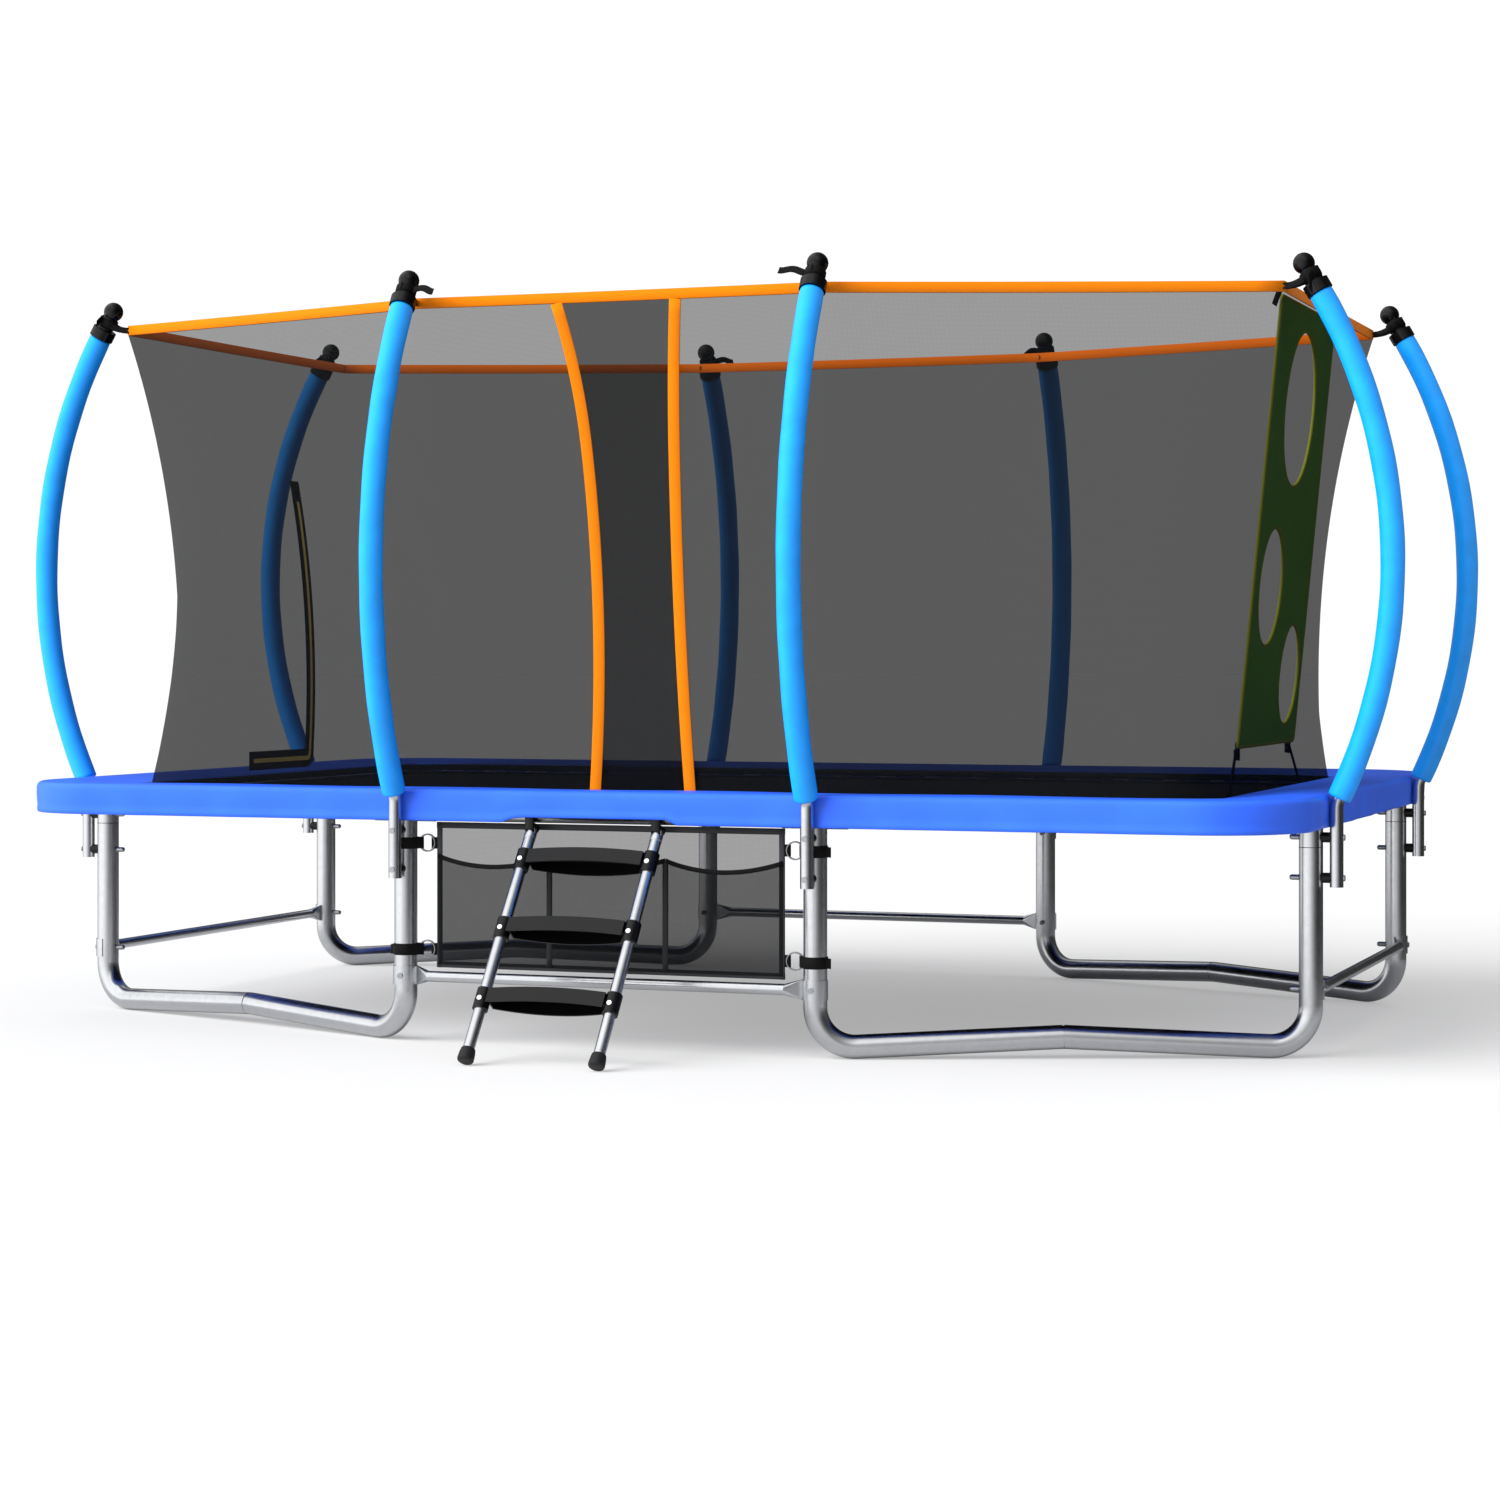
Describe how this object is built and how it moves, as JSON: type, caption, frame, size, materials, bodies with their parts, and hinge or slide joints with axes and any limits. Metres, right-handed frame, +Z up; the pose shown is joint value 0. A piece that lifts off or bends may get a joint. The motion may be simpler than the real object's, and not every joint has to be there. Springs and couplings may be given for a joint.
{
  "type": "trampoline with enclosure",
  "caption": "Rectangular garden trampoline on bent tube legs, with a blue pad, a net on curved padded poles, a target board, an organiser and a ladder.",
  "frame": {"origin": "on the ground, on the vertical centre line of the frame", "axes": "+X along the long side to the right, -Y towards the ladder and the doorway, +Z up"},
  "size_m": [3.913, 2.9067, 2.0132],
  "materials": {
    "frame_steel": "galvanised, semi-bright",
    "leg_steel": "galvanised, semi-bright",
    "pole_steel": "galvanised, semi-bright",
    "foam": "smooth sky-blue sleeve over foam",
    "cap_plastic": "moulded, satin",
    "black_plastic": "moulded",
    "fastener_zinc": "zinc plated",
    "spring_steel": "galvanised wire",
    "mat_fabric": "woven polypropylene",
    "pad_vinyl": "coated fabric over foam, satin",
    "net_mesh": "fine knitted polyester net",
    "band_webbing": "orange woven binding",
    "strap_webbing": "woven webbing",
    "zip_metal": "plated",
    "board_fabric": "coated fabric over foam sheet with an olive binding",
    "cord_elastic": "elastic cord",
    "organiser_mesh": "mesh with a woven border",
    "ladder_steel": "galvanised, semi-bright",
    "tread_plastic": "moulded",
    "boot_rubber": "moulded",
    "rivet_plastic": "white push rivets"
  },
  "bodies": {
    "frame": {"frame_corner_front_left": "frame_steel", "frame_corner_front_right": "frame_steel", "frame_corner_back_right": "frame_steel", "frame_corner_back_left": "frame_steel", "frame_rail_front": "frame_steel", "frame_rail_back": "frame_steel", "frame_rail_left": "frame_steel", "frame_rail_right": "frame_steel", "t_sockets": "frame_steel", "leg_end_left_front": "leg_steel", "leg_side_front_left": "leg_steel", "leg_side_front_right": "leg_steel", "leg_end_right_front": "leg_steel", "leg_end_right_back": "leg_steel", "leg_side_back_right": "leg_steel", "leg_side_back_left": "leg_steel", "leg_end_left_back": "leg_steel", "brace_front": "leg_steel", "brace_back": "leg_steel", "brace_left": "leg_steel", "brace_right": "leg_steel", "poles_front": "pole_steel", "poles_back": "pole_steel", "poles_left": "pole_steel", "poles_right": "pole_steel", "pole_tops": "pole_steel", "foam_front": "foam", "foam_back": "foam", "foam_left": "foam", "foam_right": "foam", "pole_caps": "cap_plastic", "pole_spacers": "black_plastic", "bolts": "fastener_zinc", "dome_nuts": "fastener_zinc", "springs": "spring_steel", "safety_pad": "pad_vinyl", "net_back": "net_mesh", "net_left": "net_mesh", "net_right": "net_mesh", "net_front_left": "net_mesh", "net_front_right": "net_mesh", "net_corners_left": "net_mesh", "net_corners_right": "net_mesh", "top_band": "band_webbing", "door_strips": "band_webbing", "net_straps": "strap_webbing", "zip_tape": "strap_webbing", "target_board": "board_fabric", "target_cords": "cord_elastic", "organiser_panel": "organiser_mesh", "organiser_pockets": "organiser_mesh", "organiser_straps": "strap_webbing"},
    "bed": {"jumping_mat": "mat_fabric", "v_rings": "spring_steel"},
    "ladder": {"ladder_rails": "ladder_steel", "ladder_treads": "tread_plastic", "ladder_hooks": "tread_plastic", "ladder_boots": "boot_rubber", "ladder_rivets": "rivet_plastic"},
    "slider": {"zip_slider": "zip_metal"}
  },
  "joints": [
    {"name": "mat_bounce", "type": "slide", "parent": "frame", "child": "bed", "axis": [0, 0, -1], "range_m": [0, 0.12], "stiffness_N_per_m": 5000, "springref_m": -0.06},
    {"name": "ladder_swing", "type": "hinge", "parent": "frame", "child": "ladder", "pos_m": [-0.024, -1.11, 0.605], "axis": [-1, 0, 0], "range_deg": [0, 20]},
    {"name": "zip_travel", "type": "hinge", "parent": "frame", "child": "slider", "pos_m": [-4.9104, 0.15, 0.9188], "axis": [0, 1, 0], "range_deg": [0, 12.2]}
  ]
}
